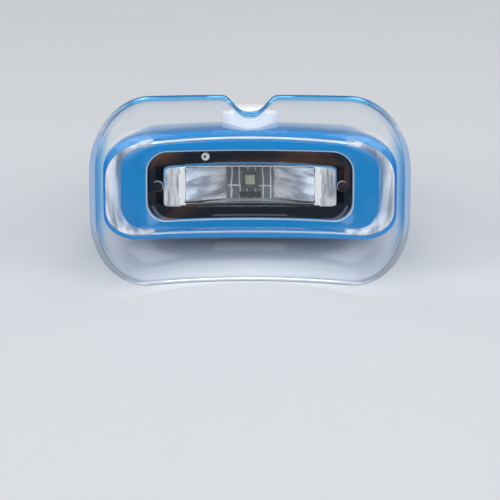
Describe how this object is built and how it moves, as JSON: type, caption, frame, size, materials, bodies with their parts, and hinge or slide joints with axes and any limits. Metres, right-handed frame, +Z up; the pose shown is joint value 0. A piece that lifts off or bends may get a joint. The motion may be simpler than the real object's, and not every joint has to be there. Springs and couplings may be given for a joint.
{
  "type": "teeth whitening lamp",
  "caption": "Hand-held lamp with a flared clear face shield, a curved light window in a blue casing, a top power button and a sliding battery door.",
  "frame": {"origin": "centre of the overall box in X and Y, on the surface that the lamp rests on", "axes": "+X to the right as seen from the mouth side, -Y towards the user's mouth, +Z up; the casing is tipped back by 17 degrees so that the shield's lower rim and two foot lands touch the surface"},
  "size_m": [0.086, 0.0788, 0.0531],
  "materials": {
    "casing_blue": "glossy moulded blue",
    "clear_acrylic": "clear polished acrylic",
    "dark_mirror": "dark metallised, mirror-like",
    "tray_grey": "satin grey",
    "silvered_plastic": "vacuum silvered",
    "circuit_board": "solder mask green",
    "emitter_body": "clear resin over a pale package",
    "chip_black": "black moulded",
    "button_white": "smooth white",
    "cell_jacket": "plain dark sleeve",
    "plated_steel": "nickel plated",
    "wire_red": "red insulation",
    "wire_black": "black insulation"
  },
  "bodies": {
    "casing": {"battery_front": "cell_jacket", "battery_rear": "cell_jacket", "battery_wire_black": "wire_black", "battery_wire_red": "wire_red", "board_screw_1": "plated_steel", "board_screw_2": "plated_steel", "boost_inductor": "chip_black", "case_screw_1": "plated_steel", "case_screw_2": "plated_steel", "case_screw_3": "plated_steel", "case_screw_4": "plated_steel", "contact_link": "plated_steel", "contact_negative": "plated_steel", "contact_positive": "plated_steel", "controller_ic": "chip_black", "face_shield": "clear_acrylic", "filter_capacitor": "plated_steel", "lamp_tray": "tray_grey", "led_board": "circuit_board", "led_emitter": "emitter_body", "led_resistor": "chip_black", "led_wire_black": "wire_black", "led_wire_red": "wire_red", "lens_cover": "clear_acrylic", "lower_casing": "casing_blue", "main_board": "circuit_board", "reflector_left": "silvered_plastic", "reflector_right": "silvered_plastic", "spring_front": "plated_steel", "spring_rear": "plated_steel", "tact_switch": "chip_black", "upper_casing": "casing_blue", "window_plate": "dark_mirror"},
    "button": {"power_button": "button_white"},
    "plunger": {"tact_plunger": "button_white"},
    "door": {"battery_door": "casing_blue"}
  },
  "joints": [
    {"name": "button_press", "type": "slide", "parent": "casing", "child": "button", "axis": [0, -0.2926, -0.9562], "range_m": [0, 0.0008], "stiffness_N_per_m": 1500},
    {"name": "plunger_press", "type": "slide", "parent": "casing", "child": "plunger", "axis": [0, -0.2926, -0.9562], "range_m": [0, 0.0008]},
    {"name": "door_slide", "type": "slide", "parent": "casing", "child": "door", "axis": [0, 1, 0], "range_m": [0, 0.026]}
  ],
  "couplings": [
    {"joint": "plunger_press", "follows": "button_press", "ratio": 1}
  ]
}
